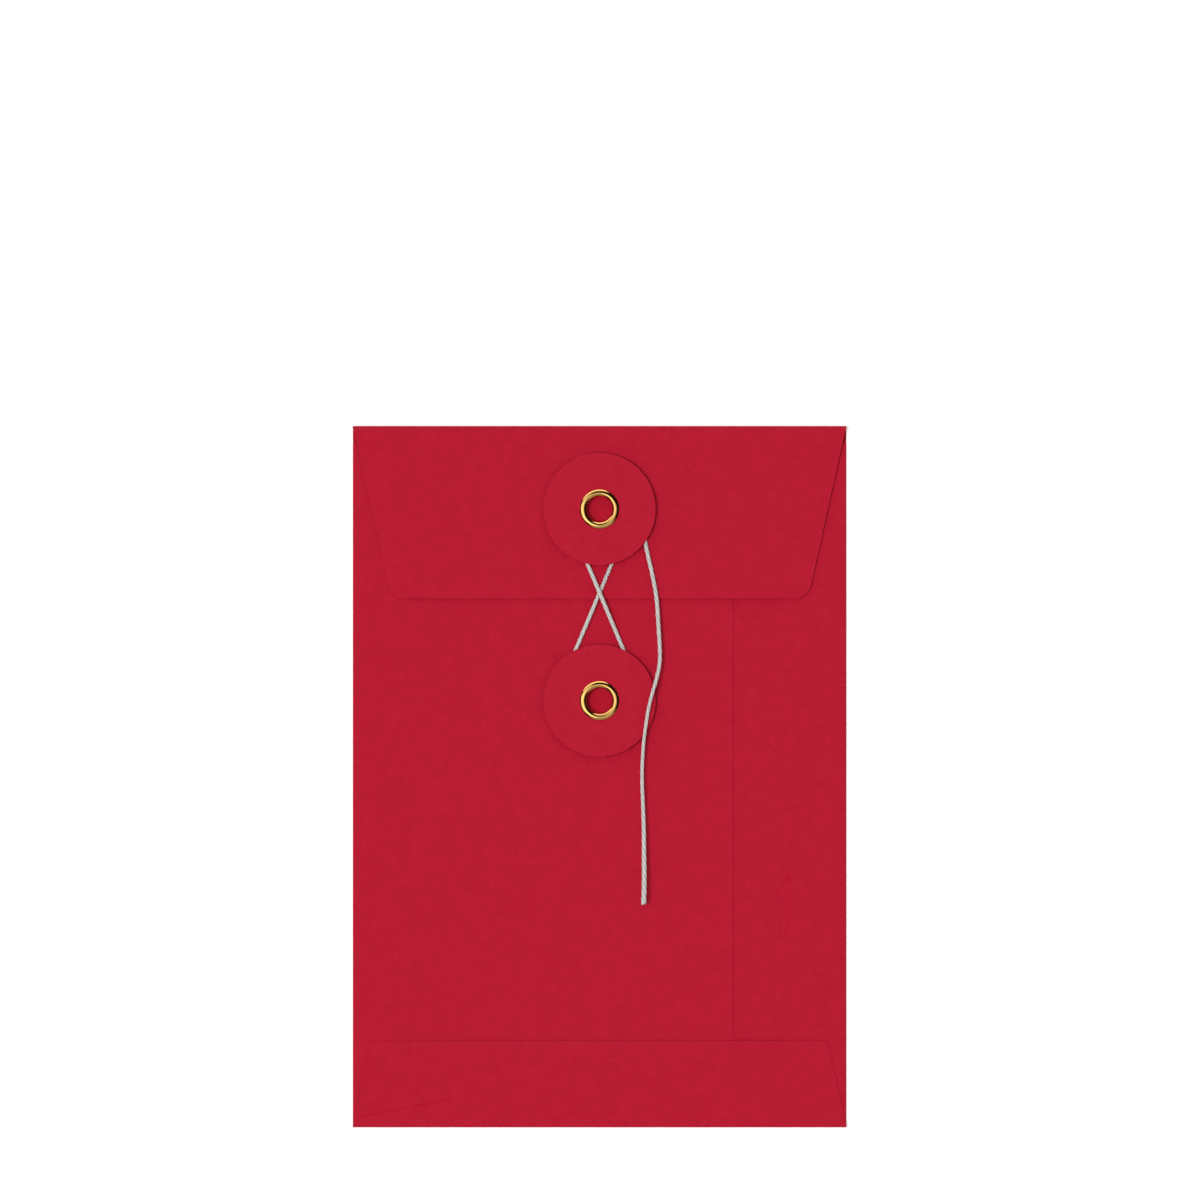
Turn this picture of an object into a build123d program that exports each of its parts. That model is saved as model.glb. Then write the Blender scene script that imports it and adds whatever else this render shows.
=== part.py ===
from build123d import *
import math
import os

# A C6 string-tie envelope, lying on its address side with the flap closed and the string wound on.
# X runs across it, Y runs up towards the flap's fold, Z is up, and the origin is under its middle.
# All sizes are in millimetres.

# The folded paper
WIDTH = 114.0
LENGTH = 162.0
PAPER = 0.2
GLUE = 0.04
GLUE_MARGIN = 1.5

# The closing flap, which starts a little inside the side folds and draws in to its free edge
FLAP_DEPTH = 39.85
FLAP_SHOULDER = 0.25
FLAP_INSET = 8.85
FLAP_CORNER = 4.0

# The two back panels: the left one lies over the right one at the side seam
SEAM_FROM_RIGHT_FOLD = 26.2
SEAM_OVERLAP = 11.0
THROAT_DROP = 4.0
PANEL_FOOT_GAP = 2.0
PANEL_FOOT_RUN = 21.0
PANEL_FOOT_RISE = 4.1

# The bottom flap, glued over both back panels
BOTTOM_FLAP_DEPTH = 20.0
BOTTOM_FLAP_INSET = 4.4
BOTTOM_FLAP_CORNER = 2.0
BOTTOM_GLUE_HEIGHT = 9.0

# The two buttons: a card disc on a smaller card spacer, held by a rolled brass eyelet
FLAP_BUTTON_FROM_FOLD = 19.2
BODY_BUTTON_FROM_FOLD = 63.4
DISC_DIAMETER = 25.9
DISC_THICKNESS = 0.45
SPACER_DIAMETER = 13.8
EYELET_BORE = 6.1
EYELET_WALL = 0.25
FLANGE_ROLL = 0.76
FLANGE_RISE = 0.4
CLINCH_ROLL = 0.5
EYELET_HOLE_CLEARANCE = 0.05
CLINCH_CLEARANCE = 0.1

# The string, and how it is wound: part of a turn on the flap's spacer, a figure of eight round the
# body's spacer, most of a turn back round the flap's spacer, then the free tail
STRING = 1.0
STRING_PLAY = 0.1
STRING_SELF_GAP = 0.5
BODY_TURN_RADIUS = 9.6
OUTER_TURN_SPREAD = 1.6
ANCHOR_ANGLE = 75.0
OUTER_TURN_SPREAD_ANGLE = 80.0
TAIL_LEAVES_ANGLE = 10.0
HUMP_HALF_LENGTH = 1.2
FLAP_EDGE_MARGIN = 1.1
FLAP_RIM_MARGIN = 0.9
BODY_RIM_MARGIN = 2.6
TURN_STEP_ANGLE = 30.0
ARC_SHARE = 0.45
GAP_POINT_SPACING = 0.5
GAP_LEAST_STRETCH = 4.0

# Heights of the stacked layers
FRONT_TOP = PAPER
LEFT_BOTTOM = FRONT_TOP + CLINCH_ROLL + CLINCH_CLEARANCE
LEFT_TOP = LEFT_BOTTOM + PAPER
RIGHT_TOP = LEFT_BOTTOM - GLUE
RIGHT_BOTTOM = RIGHT_TOP - PAPER
BOTTOM_FLAP_BOTTOM = LEFT_TOP + GLUE
BOTTOM_FLAP_TOP = BOTTOM_FLAP_BOTTOM + PAPER
FLAP_BOTTOM = LEFT_TOP + CLINCH_ROLL + CLINCH_CLEARANCE
FLAP_TOP = FLAP_BOTTOM + PAPER
SPACER_HEIGHT = STRING + 2 * STRING_PLAY
BODY_DISC_BOTTOM = LEFT_TOP + SPACER_HEIGHT
BODY_DISC_TOP = BODY_DISC_BOTTOM + DISC_THICKNESS
FLAP_DISC_BOTTOM = FLAP_TOP + SPACER_HEIGHT
FLAP_DISC_TOP = FLAP_DISC_BOTTOM + DISC_THICKNESS

# Each fold is half a round, as high as the layer that it leads up to
LEFT_FOLD_RADIUS = LEFT_TOP / 2
RIGHT_FOLD_RADIUS = RIGHT_TOP / 2
BOTTOM_FOLD_RADIUS = BOTTOM_FLAP_TOP / 2
CREASE_RADIUS = FLAP_TOP / 2

# Edges and centres, as seen from above
HALF_WIDTH = WIDTH / 2
TOP = LENGTH / 2
LEFT_FOLD_X = LEFT_FOLD_RADIUS - HALF_WIDTH
RIGHT_FOLD_X = HALF_WIDTH - RIGHT_FOLD_RADIUS
BOTTOM_FOLD_Y = BOTTOM_FOLD_RADIUS - TOP
CREASE_Y = TOP - CREASE_RADIUS
FLAP_EDGE_Y = TOP - FLAP_DEPTH
THROAT_Y = TOP - THROAT_DROP
PANEL_FOOT_Y = PANEL_FOOT_GAP - TOP
PANEL_EDGE_Y = PANEL_FOOT_Y + PANEL_FOOT_RISE
BOTTOM_FLAP_EDGE_Y = BOTTOM_FLAP_DEPTH - TOP
SEAM_X = HALF_WIDTH - SEAM_FROM_RIGHT_FOLD
OVERLAP_X = SEAM_X - SEAM_OVERLAP
FLAP_BUTTON_Y = TOP - FLAP_BUTTON_FROM_FOLD
BODY_BUTTON_Y = TOP - BODY_BUTTON_FROM_FOLD
EYELET_HOLE = EYELET_BORE / 2 + EYELET_WALL + EYELET_HOLE_CLEARANCE

# Heights of the string's middle line, and the radius of its turns on the flap's spacer
ON_FLAP = FLAP_TOP + STRING / 2 + STRING_PLAY
ON_BACK = LEFT_TOP + STRING / 2 + STRING_PLAY
OVER_CROSSING = ON_FLAP + STRING + STRING_SELF_GAP
FLAP_TURN_RADIUS = SPACER_DIAMETER / 2 + STRING / 2 + STRING_PLAY
OUTER_TURN_RADIUS = FLAP_TURN_RADIUS + OUTER_TURN_SPREAD

# The free tail, from the rim of the flap's disc to its cut end: distance right of the buttons,
# distance down from the flap's button, and how far it springs up from its height on the flap
STRING_TAIL = [
    (10.70, 8.9, 0.0),
    (12.15, 14.9, 0.25),
    (13.20, 20.4, 0.6),
    (13.55, 26.4, 0.75),
    (13.90, 31.9, 0.95),
    (13.95, 35.3, 1.15),
    (13.28, 38.7, 1.4),
    (12.12, 42.6, 1.65),
    (11.27, 45.9, 1.65),
    (10.67, 49.7, 1.4),
    (10.14, 53.7, 1.0),
    (9.82, 58.9, 0.75),
    (9.78, 63.4, 0.6),
    (10.05, 68.7, 0.65),
    (10.22, 74.4, 0.85),
    (10.24, 79.9, 1.3),
    (10.33, 85.6, 1.55),
    (10.17, 90.9, 1.65),
]


def sheet(outline, bottom, thickness):
    """A flat piece: a closed outline of points, from one height up by one thickness."""
    return extrude(Pos(0, 0, bottom) * make_face(Polyline(*outline, close=True)), thickness)


def round_corners(piece, edge_y, radius):
    """Round the two upright corners of a flap that lie on its free edge."""
    corners = [edge for edge in piece.edges().filter_by(Axis.Z) if abs(edge.center().Y - edge_y) < radius / 2]
    return fillet(corners, radius)


def eyelet_hole(y):
    """The punched hole that an eyelet's barrel goes through, tall enough for every layer."""
    return Pos(0, y, 0) * extrude(Circle(EYELET_HOLE), 2 * FLAP_TOP, both=True)


def fold(radius):
    """Section of a fold: a half ring of paper that bulges towards X, resting on the ground line."""
    ring = Circle(radius) - Circle(radius - PAPER)
    bulge = Pos(radius, 0) * Rectangle(2 * radius, 2 * radius)
    return Pos(0, radius) * (ring & bulge)


def side_fold(radius, x, sign):
    """A side fold, from the foot of its back panel up to the throat."""
    section = Plane((x, THROAT_Y, 0), x_dir=(sign, 0, 0), z_dir=(0, -sign, 0)) * fold(radius)
    return extrude(section, THROAT_Y - PANEL_FOOT_Y, dir=(0, -1, 0))


def cross_fold(radius, y, sign):
    """The bottom fold or the flap's crease, across the full width."""
    section = Plane((-HALF_WIDTH, y, 0), x_dir=(0, sign, 0), z_dir=(sign, 0, 0)) * fold(radius)
    return extrude(section, WIDTH, dir=(1, 0, 0))


def front_panel():
    """The address side: full width at both ends, and between the side folds elsewhere."""
    outline = [
        (-HALF_WIDTH, BOTTOM_FOLD_Y),
        (HALF_WIDTH, BOTTOM_FOLD_Y),
        (HALF_WIDTH, PANEL_FOOT_Y),
        (RIGHT_FOLD_X, PANEL_FOOT_Y),
        (RIGHT_FOLD_X, THROAT_Y),
        (HALF_WIDTH, THROAT_Y),
        (HALF_WIDTH, CREASE_Y),
        (-HALF_WIDTH, CREASE_Y),
        (-HALF_WIDTH, THROAT_Y),
        (LEFT_FOLD_X, THROAT_Y),
        (LEFT_FOLD_X, PANEL_FOOT_Y),
        (-HALF_WIDTH, PANEL_FOOT_Y),
    ]
    return sheet(outline, 0, PAPER)


def back_panel(fold_x, edge_x, bottom):
    """A back panel, from its side fold to its free edge, with its foot cut on a slant."""
    slant_x = fold_x + math.copysign(PANEL_FOOT_RUN, edge_x - fold_x)
    outline = [
        (fold_x, PANEL_FOOT_Y),
        (slant_x, PANEL_EDGE_Y),
        (edge_x, PANEL_EDGE_Y),
        (edge_x, THROAT_Y),
        (fold_x, THROAT_Y),
    ]
    return sheet(outline, bottom, PAPER)


def left_panel():
    """The wide back panel, which carries the body's button."""
    return back_panel(LEFT_FOLD_X, SEAM_X, LEFT_BOTTOM) - eyelet_hole(BODY_BUTTON_Y)


def right_panel():
    """The narrow back panel, which reaches in under the wide one."""
    return back_panel(RIGHT_FOLD_X, OVERLAP_X, RIGHT_BOTTOM)


def bottom_flap():
    """The flap that closes the pocket's bottom end."""
    edge_half = HALF_WIDTH - BOTTOM_FLAP_INSET
    outline = [
        (-HALF_WIDTH, BOTTOM_FOLD_Y),
        (HALF_WIDTH, BOTTOM_FOLD_Y),
        (edge_half, BOTTOM_FLAP_EDGE_Y),
        (-edge_half, BOTTOM_FLAP_EDGE_Y),
    ]
    flap = sheet(outline, BOTTOM_FLAP_BOTTOM, PAPER)
    return round_corners(flap, BOTTOM_FLAP_EDGE_Y, BOTTOM_FLAP_CORNER)


def closure_flap():
    """The tapered flap that closes the throat and carries the upper button."""
    fold_half = HALF_WIDTH - FLAP_SHOULDER
    edge_half = HALF_WIDTH - FLAP_INSET
    outline = [
        (-fold_half, CREASE_Y),
        (fold_half, CREASE_Y),
        (edge_half, FLAP_EDGE_Y),
        (-edge_half, FLAP_EDGE_Y),
    ]
    flap = round_corners(sheet(outline, FLAP_BOTTOM, PAPER), FLAP_EDGE_Y, FLAP_CORNER)
    return flap - eyelet_hole(FLAP_BUTTON_Y)


def side_seam_glue():
    """The film of glue that joins the two back panels down the side seam."""
    outline = [
        (OVERLAP_X + GLUE_MARGIN, PANEL_EDGE_Y + GLUE_MARGIN),
        (SEAM_X - GLUE_MARGIN, PANEL_EDGE_Y + GLUE_MARGIN),
        (SEAM_X - GLUE_MARGIN, THROAT_Y - GLUE_MARGIN),
        (OVERLAP_X + GLUE_MARGIN, THROAT_Y - GLUE_MARGIN),
    ]
    return sheet(outline, RIGHT_TOP, GLUE)


def bottom_seam_glue():
    """The film of glue that joins the bottom flap to the wide back panel."""
    top = BOTTOM_FLAP_EDGE_Y - GLUE_MARGIN
    left = LEFT_FOLD_X + BOTTOM_FLAP_INSET + BOTTOM_FLAP_CORNER
    outline = [
        (left, top - BOTTOM_GLUE_HEIGHT),
        (SEAM_X - GLUE_MARGIN, top - BOTTOM_GLUE_HEIGHT),
        (SEAM_X - GLUE_MARGIN, top),
        (left, top),
    ]
    return sheet(outline, LEFT_TOP, GLUE)


def washer(diameter, thickness, y, bottom):
    """A punched card washer on an eyelet."""
    return Pos(0, y, bottom) * extrude(Circle(diameter / 2) - Circle(EYELET_HOLE), thickness)


def eyelet(y, paper_bottom, disc_top):
    """A thin brass barrel, rolled outward over the disc and again under the paper."""
    inner = EYELET_BORE / 2
    outer = inner + EYELET_WALL
    flange_middle = inner + FLANGE_ROLL
    flange_lip = inner + 2 * FLANGE_ROLL
    clinch_middle = inner + CLINCH_ROLL
    clinch_lip = inner + 2 * CLINCH_ROLL
    over = disc_top + FLANGE_RISE
    under = paper_bottom - CLINCH_ROLL
    section = Curve() + [
        Line((inner, paper_bottom), (inner, disc_top)),
        ThreePointArc((inner, disc_top), (flange_middle, over), (flange_lip, disc_top)),
        Line((flange_lip, disc_top), (flange_lip - EYELET_WALL, disc_top)),
        ThreePointArc(
            (flange_lip - EYELET_WALL, disc_top),
            (flange_middle, over - EYELET_WALL),
            (outer, disc_top),
        ),
        Line((outer, disc_top), (outer, paper_bottom)),
        ThreePointArc(
            (outer, paper_bottom),
            (clinch_middle, under + EYELET_WALL),
            (clinch_lip - EYELET_WALL, paper_bottom),
        ),
        Line((clinch_lip - EYELET_WALL, paper_bottom), (clinch_lip, paper_bottom)),
        ThreePointArc((clinch_lip, paper_bottom), (clinch_middle, under), (inner, paper_bottom)),
    ]
    return Pos(0, y, 0) * revolve(Plane.XZ * make_face(section), Axis.Z)


def turn(middle_y, radii, angles, height):
    """Corners of a turn of string round a button: tangents to a round that may widen as it goes."""
    steps = math.ceil(abs(angles[1] - angles[0]) / TURN_STEP_ANGLE)
    step = (angles[1] - angles[0]) / steps
    reach = 1 / math.cos(math.radians(step / 2))
    corners = []
    for i in range(steps):
        share = (i + 0.5) / steps
        radius = (radii[0] + (radii[1] - radii[0]) * share) * reach
        angle = math.radians(angles[0] + (i + 0.5) * step)
        corners.append((radius * math.cos(angle), middle_y + radius * math.sin(angle), height))
    return corners


def string_route():
    """Corners of the whole route, from the end under the flap's disc to the cut end of the tail."""
    between = FLAP_BUTTON_Y - BODY_BUTTON_Y
    lean = math.asin((FLAP_TURN_RADIUS + BODY_TURN_RADIUS) / between)
    leg_length = math.sqrt(between**2 - (FLAP_TURN_RADIUS + BODY_TURN_RADIUS) ** 2)
    tilt = math.degrees(lean)
    disc_radius = DISC_DIAMETER / 2
    to_crossing = FLAP_TURN_RADIUS / math.tan(lean)
    to_flap_rim = math.sqrt(disc_radius**2 - FLAP_TURN_RADIUS**2)
    to_body_rim = leg_length - math.sqrt(disc_radius**2 - BODY_TURN_RADIUS**2)
    leg_start_y = FLAP_BUTTON_Y - FLAP_TURN_RADIUS * math.sin(lean)
    to_flap_edge = (leg_start_y - FLAP_EDGE_Y) / math.cos(lean)

    def on_leg(side, along, height):
        """A point on a leg of the eight, so far along it from the flap's button."""
        x = side * (FLAP_TURN_RADIUS * math.cos(lean) - along * math.sin(lean))
        return (x, leg_start_y - along * math.cos(lean), height)

    anchored = (FLAP_TURN_RADIUS, FLAP_TURN_RADIUS)
    body = (BODY_TURN_RADIUS, BODY_TURN_RADIUS)
    widening = (FLAP_TURN_RADIUS, OUTER_TURN_RADIUS)
    widened = (OUTER_TURN_RADIUS, OUTER_TURN_RADIUS)
    return [
        *turn(FLAP_BUTTON_Y, anchored, (ANCHOR_ANGLE, -tilt), ON_FLAP),
        on_leg(1, to_flap_edge + FLAP_EDGE_MARGIN, ON_FLAP),
        on_leg(1, to_body_rim - BODY_RIM_MARGIN, ON_BACK),
        *turn(BODY_BUTTON_Y, body, (180 - tilt, 360 + tilt), ON_BACK),
        on_leg(-1, to_body_rim - BODY_RIM_MARGIN, ON_BACK),
        on_leg(-1, to_crossing + HUMP_HALF_LENGTH, OVER_CROSSING),
        on_leg(-1, to_crossing - HUMP_HALF_LENGTH, OVER_CROSSING),
        on_leg(-1, to_flap_rim + FLAP_RIM_MARGIN, ON_FLAP),
        *turn(FLAP_BUTTON_Y, widening, (180 + tilt, OUTER_TURN_SPREAD_ANGLE), ON_FLAP),
        *turn(FLAP_BUTTON_Y, widened, (OUTER_TURN_SPREAD_ANGLE, TAIL_LEAVES_ANGLE), ON_FLAP),
        *[(across, FLAP_BUTTON_Y - down, ON_FLAP + spring) for across, down, spring in STRING_TAIL],
    ]


def corner_radii(route):
    """The largest arc that each corner's two runs leave room for."""
    points = [Vector(*point) for point in route]
    radii = []
    for before, corner, after in zip(points, points[1:], points[2:]):
        half_turn = math.radians((corner - before).get_angle(after - corner)) / 2
        shorter = min((corner - before).length, (after - corner).length)
        radii.append(ARC_SHARE * shorter / math.tan(half_turn))
    return radii


def least_self_gap(path):
    """The least clear gap between two stretches of the string, measured on points along it."""
    count = round(path.length / GAP_POINT_SPACING)
    points = [tuple(path.position_at(i / count)) for i in range(count + 1)]
    apart = round(GAP_LEAST_STRETCH / GAP_POINT_SPACING)
    nearest = min(math.dist(a, b) for i, a in enumerate(points) for b in points[i + apart :])
    return nearest - STRING


def tie_string():
    """The whole string as one round tube, and what it measures."""
    route = string_route()
    radii = corner_radii(route)
    path = FilletPolyline(*route, radius=radii)
    tube = sweep(Plane(path @ 0, z_dir=path % 0) * Circle(STRING / 2), path)
    section_by_length = math.pi * (STRING / 2) ** 2 * path.length
    print("string radii", [round(radius, 1) for radius in radii])
    print("string length", round(path.length, 1), "least gap to itself", round(least_self_gap(path), 2))
    print("string volume", round(tube.volume, 2), "section times length", round(section_by_length, 2))
    return tube


PIECES = {
    "front_panel": front_panel(),
    "left_fold": side_fold(LEFT_FOLD_RADIUS, LEFT_FOLD_X, -1),
    "right_fold": side_fold(RIGHT_FOLD_RADIUS, RIGHT_FOLD_X, 1),
    "bottom_fold": cross_fold(BOTTOM_FOLD_RADIUS, BOTTOM_FOLD_Y, -1),
    "left_panel": left_panel(),
    "right_panel": right_panel(),
    "bottom_flap": bottom_flap(),
    "side_seam_glue": side_seam_glue(),
    "bottom_seam_glue": bottom_seam_glue(),
    "flap_crease": cross_fold(CREASE_RADIUS, CREASE_Y, 1),
    "closure_flap": closure_flap(),
    "flap_spacer": washer(SPACER_DIAMETER, SPACER_HEIGHT, FLAP_BUTTON_Y, FLAP_TOP),
    "flap_disc": washer(DISC_DIAMETER, DISC_THICKNESS, FLAP_BUTTON_Y, FLAP_DISC_BOTTOM),
    "flap_eyelet": eyelet(FLAP_BUTTON_Y, FLAP_BOTTOM, FLAP_DISC_TOP),
    "body_spacer": washer(SPACER_DIAMETER, SPACER_HEIGHT, BODY_BUTTON_Y, LEFT_TOP),
    "body_disc": washer(DISC_DIAMETER, DISC_THICKNESS, BODY_BUTTON_Y, BODY_DISC_BOTTOM),
    "body_eyelet": eyelet(BODY_BUTTON_Y, LEFT_BOTTOM, BODY_DISC_TOP),
    "tie_string": tie_string(),
}

os.makedirs("parts", exist_ok=True)
for name, piece in PIECES.items():
    export_step(piece, f"parts/{name}.step")
    print(name, "volume", round(piece.volume, 2))
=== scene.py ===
# %% [markdown]
# # A string tie envelope
# The real object is a small red paper envelope, lying on its address side. A cotton string, wound in a
# figure of eight round two card buttons, holds its flap shut, and brass eyelets rivet the buttons on.
# The solid parts come in as a fixed frame, in metres. This lesson gives each one its looks, and it never
# moves or resizes them. Sizes are written in millimetres and turned into metres where a mesh is made.

# %% Load the frame and keep its box
import math
import random

import bmesh
import bpy
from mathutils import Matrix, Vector


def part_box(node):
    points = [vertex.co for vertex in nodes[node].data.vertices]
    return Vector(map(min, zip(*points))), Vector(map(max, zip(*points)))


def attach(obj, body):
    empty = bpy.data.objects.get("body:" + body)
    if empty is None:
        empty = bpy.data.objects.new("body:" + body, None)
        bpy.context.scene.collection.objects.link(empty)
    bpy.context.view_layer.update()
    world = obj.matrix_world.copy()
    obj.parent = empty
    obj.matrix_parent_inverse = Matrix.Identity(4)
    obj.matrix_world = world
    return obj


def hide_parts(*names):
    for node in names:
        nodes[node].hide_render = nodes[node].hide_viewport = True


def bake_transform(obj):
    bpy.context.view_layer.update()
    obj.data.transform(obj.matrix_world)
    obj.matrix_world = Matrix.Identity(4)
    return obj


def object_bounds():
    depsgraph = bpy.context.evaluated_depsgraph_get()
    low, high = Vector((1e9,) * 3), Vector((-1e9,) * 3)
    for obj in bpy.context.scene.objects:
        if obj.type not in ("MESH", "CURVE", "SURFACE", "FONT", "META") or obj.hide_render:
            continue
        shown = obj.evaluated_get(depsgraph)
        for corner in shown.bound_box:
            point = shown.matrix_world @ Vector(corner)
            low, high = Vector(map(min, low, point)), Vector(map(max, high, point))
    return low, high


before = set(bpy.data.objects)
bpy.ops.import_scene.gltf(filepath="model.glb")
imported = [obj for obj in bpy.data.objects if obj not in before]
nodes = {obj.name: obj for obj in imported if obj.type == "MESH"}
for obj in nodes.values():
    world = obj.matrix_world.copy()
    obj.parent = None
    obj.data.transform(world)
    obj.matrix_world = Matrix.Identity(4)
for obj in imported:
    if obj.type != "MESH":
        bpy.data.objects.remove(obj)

MM = 0.001
cad_box = [list(corner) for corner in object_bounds()]
print("frame:", len(nodes), "parts, box from", cad_box[0], "to", cad_box[1])

# %% [markdown]
# ## The camera
# The photograph looks straight down on the envelope, which stands below the middle of a square picture.
# Its outline there gives the scale. A long lens from far off keeps the picture flat, as in a catalogue,
# and moving the whole camera up the envelope frames it without any lens shift.

# %% A long lens, straight above
PHOTO_SIDE = 1200.0
PHOTO_MIDDLE = 599.5
OUTLINE_LEFT, OUTLINE_RIGHT = 352.43, 845.73
OUTLINE_TOP, OUTLINE_BOTTOM = 425.58, 1126.70
LENS = 200.0
SENSOR = 36.0
FAR_CLIP = 20.0

metres_per_pixel = (cad_box[1][0] - cad_box[0][0]) / (OUTLINE_RIGHT - OUTLINE_LEFT)
picture_width = PHOTO_SIDE * metres_per_pixel
across = (PHOTO_MIDDLE - (OUTLINE_LEFT + OUTLINE_RIGHT) / 2) * metres_per_pixel
along = ((OUTLINE_TOP + OUTLINE_BOTTOM) / 2 - PHOTO_MIDDLE) * metres_per_pixel


def add_object(name, data):
    """Put a mesh, curve, lamp or camera into the scene under a name."""
    made = bpy.data.objects.new(name, data)
    bpy.context.scene.collection.objects.link(made)
    return made


camera = add_object("camera", bpy.data.cameras.new("camera"))
camera.data.lens = LENS
camera.data.sensor_width = SENSOR
camera.location = (across, along, picture_width * LENS / SENSOR)
camera.data.clip_end = FAR_CLIP
bpy.context.scene.camera = camera
bpy.context.scene.view_settings.view_transform = "Standard"
print("picture", round(picture_width / MM, 1), "mm wide, camera at", [round(v, 4) for v in camera.location])

# %% [markdown]
# ## The string's route
# The string is one soft cord, so its route comes before its surface. It starts under the upper button,
# crosses down to the lower one, goes round it and comes back over itself, goes most of the way round the
# upper button again, and then hangs down as a loose tail that stands a little off the paper. The turns
# come from a loop and the tail is a list of points. A NURBS spline with these as its control points gives
# the smooth line of a limp string.

# %% Heights and radii that the string keeps to
STRING = 1.0
STRING_PLAY = 0.03
SPACER_RADIUS = 6.9
DISC_RADIUS = 12.95
BODY_TURN_RADIUS = 9.6
OUTER_TURN_SPREAD = 1.6
ANCHOR_ANGLE = 75.0
OUTER_TURN_SPREAD_ANGLE = 80.0
TAIL_LEAVES_ANGLE = 10.0
TURN_STEP_ANGLE = 30.0
HUMP_HALF_LENGTH = 1.2
FLAP_EDGE_MARGIN = 1.1
FLAP_RIM_MARGIN = 0.9
BODY_RIM_MARGIN = 2.6


def low_of(node):
    """The lowest corner of a part, in millimetres."""
    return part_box(node)[0] / MM


def high_of(node):
    """The highest corner of a part, in millimetres."""
    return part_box(node)[1] / MM


flap_top = high_of("closure_flap").z
back_top = high_of("left_panel").z
flap_edge = low_of("closure_flap").y
flap_button = (low_of("flap_disc").y + high_of("flap_disc").y) / 2
body_button = (low_of("body_disc").y + high_of("body_disc").y) / 2
flap_turn_radius = SPACER_RADIUS + STRING / 2 + STRING_PLAY
outer_turn_radius = flap_turn_radius + OUTER_TURN_SPREAD
on_flap = flap_top + STRING / 2 + STRING_PLAY
on_back = back_top + STRING / 2 + STRING_PLAY
over_crossing = on_flap + STRING
print("buttons at", round(flap_button, 2), "and", round(body_button, 2), "mm up the envelope")
print("the string's middle is", round(on_flap, 2), "mm up on the flap and", round(on_back, 2), "on the back")

# %% The tail, listed: right of the buttons, down from the upper one, and springing up off the flap
STRING_TAIL = [
    (10.70, 8.9, 0.0),
    (12.15, 14.9, 0.25),
    (13.20, 20.4, 0.6),
    (13.55, 26.4, 0.75),
    (13.90, 31.9, 0.95),
    (13.95, 35.3, 1.15),
    (13.28, 38.7, 1.4),
    (12.12, 42.6, 1.65),
    (11.27, 45.9, 1.65),
    (10.67, 49.7, 1.4),
    (10.14, 53.7, 1.0),
    (9.82, 58.9, 0.75),
    (9.78, 63.4, 0.6),
    (10.05, 68.7, 0.65),
    (10.22, 74.4, 0.85),
    (10.24, 79.9, 1.3),
    (10.33, 85.6, 1.55),
    (10.17, 90.9, 1.65),
]


def turn(middle, radii, angles, height):
    """Corners of a turn round a button: tangents to a round that may widen as it goes."""
    steps = math.ceil(abs(angles[1] - angles[0]) / TURN_STEP_ANGLE)
    step = (angles[1] - angles[0]) / steps
    reach = 1 / math.cos(math.radians(step / 2))
    corners = []
    for i in range(steps):
        share = (i + 0.5) / steps
        radius = (radii[0] + (radii[1] - radii[0]) * share) * reach
        angle = math.radians(angles[0] + (i + 0.5) * step)
        corners.append((radius * math.cos(angle), middle + radius * math.sin(angle), height))
    return corners


def string_route():
    """Corners of the whole route, from the end under the flap's disc to the cut end of the tail."""
    between = flap_button - body_button
    lean = math.asin((flap_turn_radius + BODY_TURN_RADIUS) / between)
    leg_length = between * math.cos(lean)
    tilt = math.degrees(lean)
    to_crossing = flap_turn_radius / math.tan(lean)
    to_flap_rim = math.sqrt(DISC_RADIUS**2 - flap_turn_radius**2)
    to_body_rim = leg_length - math.sqrt(DISC_RADIUS**2 - BODY_TURN_RADIUS**2)
    leg_start = flap_button - flap_turn_radius * math.sin(lean)
    to_flap_edge = (leg_start - flap_edge) / math.cos(lean)

    def on_leg(side, distance, height):
        """A point on a leg of the eight, so far along it from the flap's button."""
        x = side * (flap_turn_radius * math.cos(lean) - distance * math.sin(lean))
        return (x, leg_start - distance * math.cos(lean), height)

    anchored = (flap_turn_radius, flap_turn_radius)
    body = (BODY_TURN_RADIUS, BODY_TURN_RADIUS)
    widening = (flap_turn_radius, outer_turn_radius)
    widened = (outer_turn_radius, outer_turn_radius)
    return [
        *turn(flap_button, anchored, (ANCHOR_ANGLE, -tilt), on_flap),
        on_leg(1, to_flap_edge + FLAP_EDGE_MARGIN, on_flap),
        on_leg(1, to_body_rim - BODY_RIM_MARGIN, on_back),
        *turn(body_button, body, (180 - tilt, 360 + tilt), on_back),
        on_leg(-1, to_body_rim - BODY_RIM_MARGIN, on_back),
        on_leg(-1, to_crossing + HUMP_HALF_LENGTH, over_crossing),
        on_leg(-1, to_crossing - HUMP_HALF_LENGTH, over_crossing),
        on_leg(-1, to_flap_rim + FLAP_RIM_MARGIN, on_flap),
        *turn(flap_button, widening, (180 + tilt, OUTER_TURN_SPREAD_ANGLE), on_flap),
        *turn(flap_button, widened, (OUTER_TURN_SPREAD_ANGLE, TAIL_LEAVES_ANGLE), on_flap),
        *[(right, flap_button - down, on_flap + spring) for right, down, spring in STRING_TAIL],
    ]


route = string_route()
print("string route:", len(route), "control points")

# %% The smooth line, read from a NURBS spline
LINE_STEPS = 22


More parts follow.
